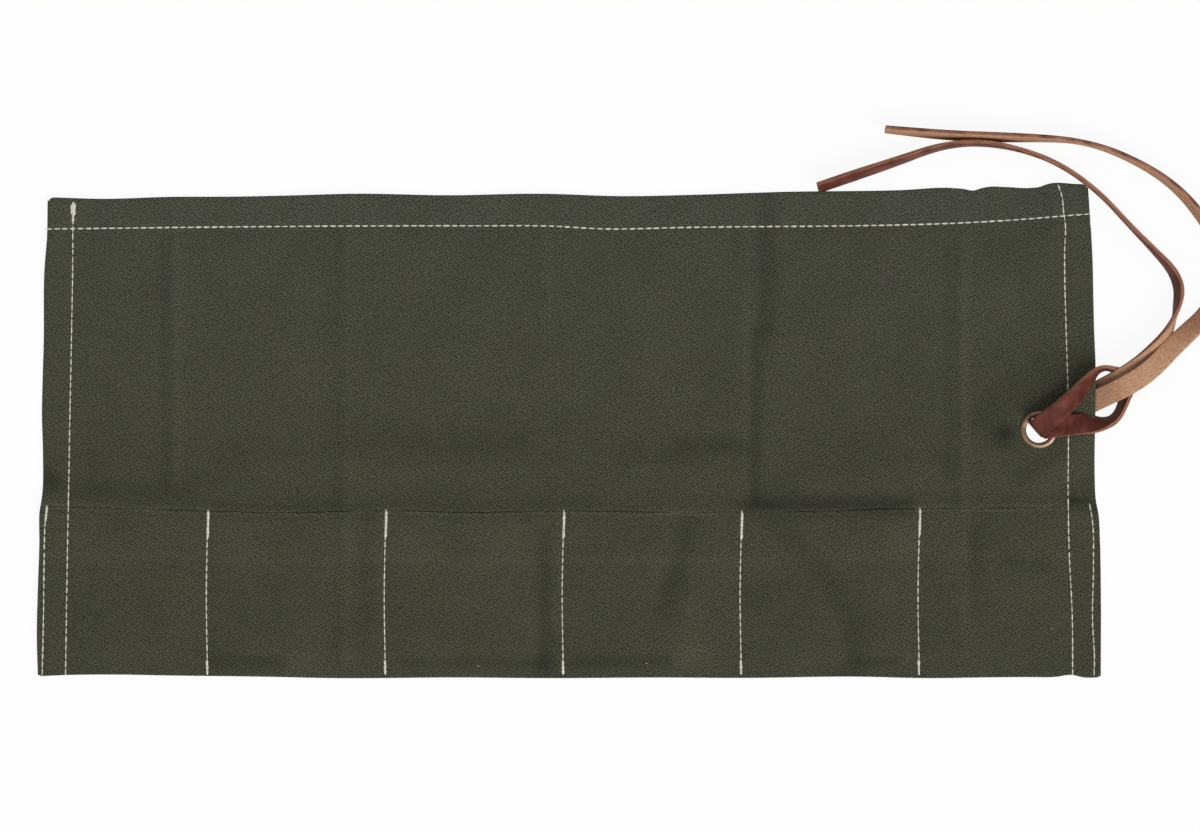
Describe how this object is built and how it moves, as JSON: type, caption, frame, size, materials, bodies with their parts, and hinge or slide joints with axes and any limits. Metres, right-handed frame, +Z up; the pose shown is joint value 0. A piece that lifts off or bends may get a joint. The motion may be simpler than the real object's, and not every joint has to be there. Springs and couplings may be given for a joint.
{
  "type": "watch roll",
  "caption": "Flat canvas roll with a row of pockets along its bottom edge and a leather tie hitched through an eyelet; it rolls up on the pocket seams.",
  "frame": {"origin": "centre of the open canvas in plan, at the table under it", "axes": "+X along the roll towards the tie, +Y from the pockets' bottom fold to the top hem, +Z up off the table"},
  "size_m": [0.5366, 0.2498, 0.0152],
  "materials": {
    "canvas": "matte olive cotton twill",
    "thread": "off-white sewing thread",
    "leather": "red-brown grain, tan flesh side",
    "eyelet": "antique copper-brass"
  },
  "bodies": {
    "tie_column": {"back_panel_6": "canvas", "pocket_6": "canvas", "top_hem_thread_6": "thread", "divider_thread_5": "thread", "right_pocket_thread": "thread", "right_hem_thread": "thread", "eyelet": "eyelet", "eyelet_washer": "eyelet", "tie_bight": "leather", "tie_tail_short": "leather", "tie_tail_long": "leather"},
    "column_5": {"back_panel_5": "canvas", "pocket_5": "canvas", "top_hem_thread_5": "thread", "divider_thread_4": "thread"},
    "column_4": {"back_panel_4": "canvas", "pocket_4": "canvas", "top_hem_thread_4": "thread", "divider_thread_3": "thread"},
    "column_3": {"back_panel_3": "canvas", "pocket_3": "canvas", "top_hem_thread_3": "thread", "divider_thread_2": "thread"},
    "column_2": {"back_panel_2": "canvas", "pocket_2": "canvas", "top_hem_thread_2": "thread", "divider_thread_1": "thread"},
    "column_1": {"back_panel_1": "canvas", "pocket_1": "canvas", "top_hem_thread_1": "thread", "left_pocket_thread": "thread", "left_hem_thread": "thread"}
  },
  "joints": [
    {"name": "roll_5", "type": "hinge", "parent": "tie_column", "child": "column_5", "pos_m": [0.1575, 0, 0.0032], "axis": [0, 1, 0], "range_deg": [0, 75]},
    {"name": "roll_4", "type": "hinge", "parent": "column_5", "child": "column_4", "pos_m": [0.0775, 0, 0.0032], "axis": [0, 1, 0], "range_deg": [0, 62]},
    {"name": "roll_3", "type": "hinge", "parent": "column_4", "child": "column_3", "pos_m": [-0.0025, 0, 0.0032], "axis": [0, 1, 0], "range_deg": [0, 69.5]},
    {"name": "roll_2", "type": "hinge", "parent": "column_3", "child": "column_2", "pos_m": [-0.0825, 0, 0.0032], "axis": [0, 1, 0], "range_deg": [0, 92]},
    {"name": "roll_1", "type": "hinge", "parent": "column_2", "child": "column_1", "pos_m": [-0.1625, 0, 0.0032], "axis": [0, 1, 0], "range_deg": [0, 122]}
  ],
  "couplings": [
    {"joint": "roll_4", "follows": "roll_5", "ratio": 0.8},
    {"joint": "roll_3", "follows": "roll_5", "ratio": 0.9},
    {"joint": "roll_2", "follows": "roll_5", "ratio": 1.2},
    {"joint": "roll_1", "follows": "roll_5", "ratio": 1.6}
  ]
}
